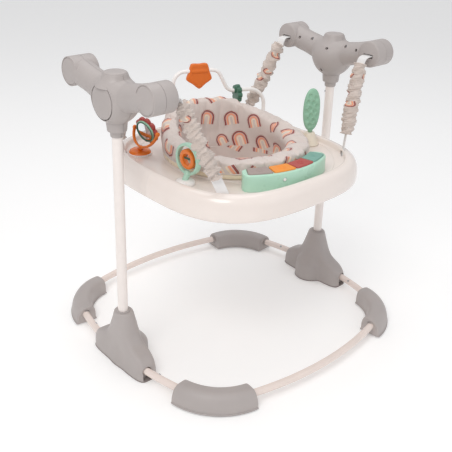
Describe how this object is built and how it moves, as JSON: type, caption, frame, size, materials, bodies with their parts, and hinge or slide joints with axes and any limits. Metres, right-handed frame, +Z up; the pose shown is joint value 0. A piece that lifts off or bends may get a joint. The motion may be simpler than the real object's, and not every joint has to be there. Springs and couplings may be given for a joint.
{
  "type": "baby activity jumper",
  "caption": "Padded swivelling baby seat in a square toy tray, hung on elastic straps from two posts on a ring base.",
  "frame": {"origin": "on the floor under the seat's swivel axis", "axes": "X through the two posts, -Y towards the front of the tray where the keyboard is, +Z up"},
  "size_m": [0.8196, 0.751, 0.777],
  "materials": {
    "base_tube_paint": "satin",
    "post_paint": "satin",
    "link_steel": "satin",
    "taupe_plastic": "matte",
    "grip_rubber": "matte",
    "cream_plastic": "gloss",
    "ring_plastic": "gloss",
    "white_nylon": "satin",
    "webbing": "woven",
    "strap_fabric": "woven",
    "elastic": "woven",
    "seat_fabric": "woven",
    "orange_plastic": "gloss",
    "red_plastic": "gloss",
    "dark_green_plastic": "gloss",
    "mirror_film": "mirror",
    "mint_plastic": "gloss",
    "teal_plastic": "gloss",
    "taupe_key_plastic": "gloss",
    "sage_plastic": "gloss",
    "board": "matte",
    "battery_steel": "satin",
    "white_plastic": "gloss"
  },
  "bodies": {
    "stand": {"base_tube_front_left": "base_tube_paint", "base_tube_front_right": "base_tube_paint", "base_tube_rear_left": "base_tube_paint", "base_tube_rear_right": "base_tube_paint", "base_links": "link_steel", "snap_buttons": "link_steel", "corner_foot_front_left": "taupe_plastic", "corner_foot_front_right": "taupe_plastic", "corner_foot_rear_left": "taupe_plastic", "corner_foot_rear_right": "taupe_plastic", "grip_pads": "grip_rubber", "post_foot_left": "taupe_plastic", "post_foot_right": "taupe_plastic", "foot_soles": "grip_rubber", "post_left": "post_paint", "post_right": "post_paint", "head_outer_left": "taupe_plastic", "head_outer_right": "taupe_plastic", "head_inner_left": "taupe_plastic", "head_inner_right": "taupe_plastic", "head_covers": "taupe_plastic", "head_top_caps": "taupe_plastic", "barrel_caps": "taupe_plastic", "strap_pins": "link_steel", "head_screws": "link_steel", "strap_top_webbing": "webbing", "strap_sleeve_front_left": "strap_fabric", "strap_sleeve_front_right": "strap_fabric", "strap_sleeve_rear_left": "strap_fabric", "strap_sleeve_rear_right": "strap_fabric", "strap_elastics": "elastic"},
    "tray": {"strap_lower_webbing": "webbing", "strap_buckles": "cream_plastic", "tray_shell": "cream_plastic", "seat_glides": "white_nylon", "mirror_stand": "orange_plastic", "bead_base": "white_plastic", "bead_hoop": "mint_plastic", "keyboard_case": "mint_plastic", "keyboard_floor": "mint_plastic", "circuit_board": "board", "batteries": "battery_steel", "paddle_base": "cream_plastic", "toy_bar": "cream_plastic"},
    "seat": {"seat_ring": "ring_plastic", "seat_retainer": "cream_plastic", "seat_sling": "seat_fabric", "seat_cushion": "seat_fabric"},
    "mirror": {"mirror_flower": "red_plastic", "mirror_bezel": "dark_green_plastic", "mirror_glass": "mirror_film"},
    "bead_roller": {"bead": "orange_plastic"},
    "paddle_toy": {"paddle": "sage_plastic"},
    "star_toy": {"star": "orange_plastic"},
    "leaf_toy": {"leaf": "dark_green_plastic"},
    "key_one": {"key_1": "taupe_key_plastic"},
    "key_two": {"key_2": "orange_plastic"},
    "key_three": {"key_3": "red_plastic"},
    "key_four": {"key_4": "teal_plastic"},
    "power_key": {"power_button": "white_nylon"}
  },
  "joints": [
    {"name": "bounce", "type": "slide", "parent": "stand", "child": "tray", "axis": [0, 0, 1], "range_m": [-0.09, 0.03], "stiffness_N_per_m": 1500, "springref_m": 0.03, "deforming": ["strap_sleeve_front_left", "strap_sleeve_front_right", "strap_sleeve_rear_left", "strap_sleeve_rear_right", "strap_elastics"]},
    {"name": "seat_swivel", "type": "hinge", "parent": "tray", "child": "seat", "pos_m": [0, 0, 0.5], "axis": [0, 0, 1], "continuous": true},
    {"name": "mirror_spin", "type": "hinge", "parent": "tray", "child": "mirror", "pos_m": [-0.187, 0.14, 0.556], "axis": [0.1219, -0.9925, 0], "continuous": true},
    {"name": "bead_roll", "type": "hinge", "parent": "tray", "child": "bead_roller", "pos_m": [-0.214, -0.069, 0.548], "axis": [-0.0523, 0.9986, 0], "continuous": true},
    {"name": "paddle_spin", "type": "hinge", "parent": "tray", "child": "paddle_toy", "pos_m": [0.226, -0.06, 0.5], "axis": [0, 0, 1], "continuous": true},
    {"name": "star_spin", "type": "hinge", "parent": "tray", "child": "star_toy", "pos_m": [0.05032, 0.21303, 0.665], "axis": [0.9415, -0.3371, 0], "continuous": true},
    {"name": "leaf_spin", "type": "hinge", "parent": "tray", "child": "leaf_toy", "pos_m": [0.16235, 0.17292, 0.6], "axis": [0.9415, -0.3371, 0], "continuous": true},
    {"name": "key_one_press", "type": "slide", "parent": "tray", "child": "key_one", "axis": [0, 0, -1], "range_m": [0, 0.0025], "stiffness_N_per_m": 400, "springref_m": -0.002},
    {"name": "key_two_press", "type": "slide", "parent": "tray", "child": "key_two", "axis": [0, 0, -1], "range_m": [0, 0.0025], "stiffness_N_per_m": 400, "springref_m": -0.002},
    {"name": "key_three_press", "type": "slide", "parent": "tray", "child": "key_three", "axis": [0, 0, -1], "range_m": [0, 0.0025], "stiffness_N_per_m": 400, "springref_m": -0.002},
    {"name": "key_four_press", "type": "slide", "parent": "tray", "child": "key_four", "axis": [0, 0, -1], "range_m": [0, 0.0025], "stiffness_N_per_m": 400, "springref_m": -0.002},
    {"name": "power_press", "type": "slide", "parent": "tray", "child": "power_key", "axis": [0.2317, 0.9728, 0], "range_m": [0, 0.001], "stiffness_N_per_m": 400, "springref_m": -0.001}
  ]
}
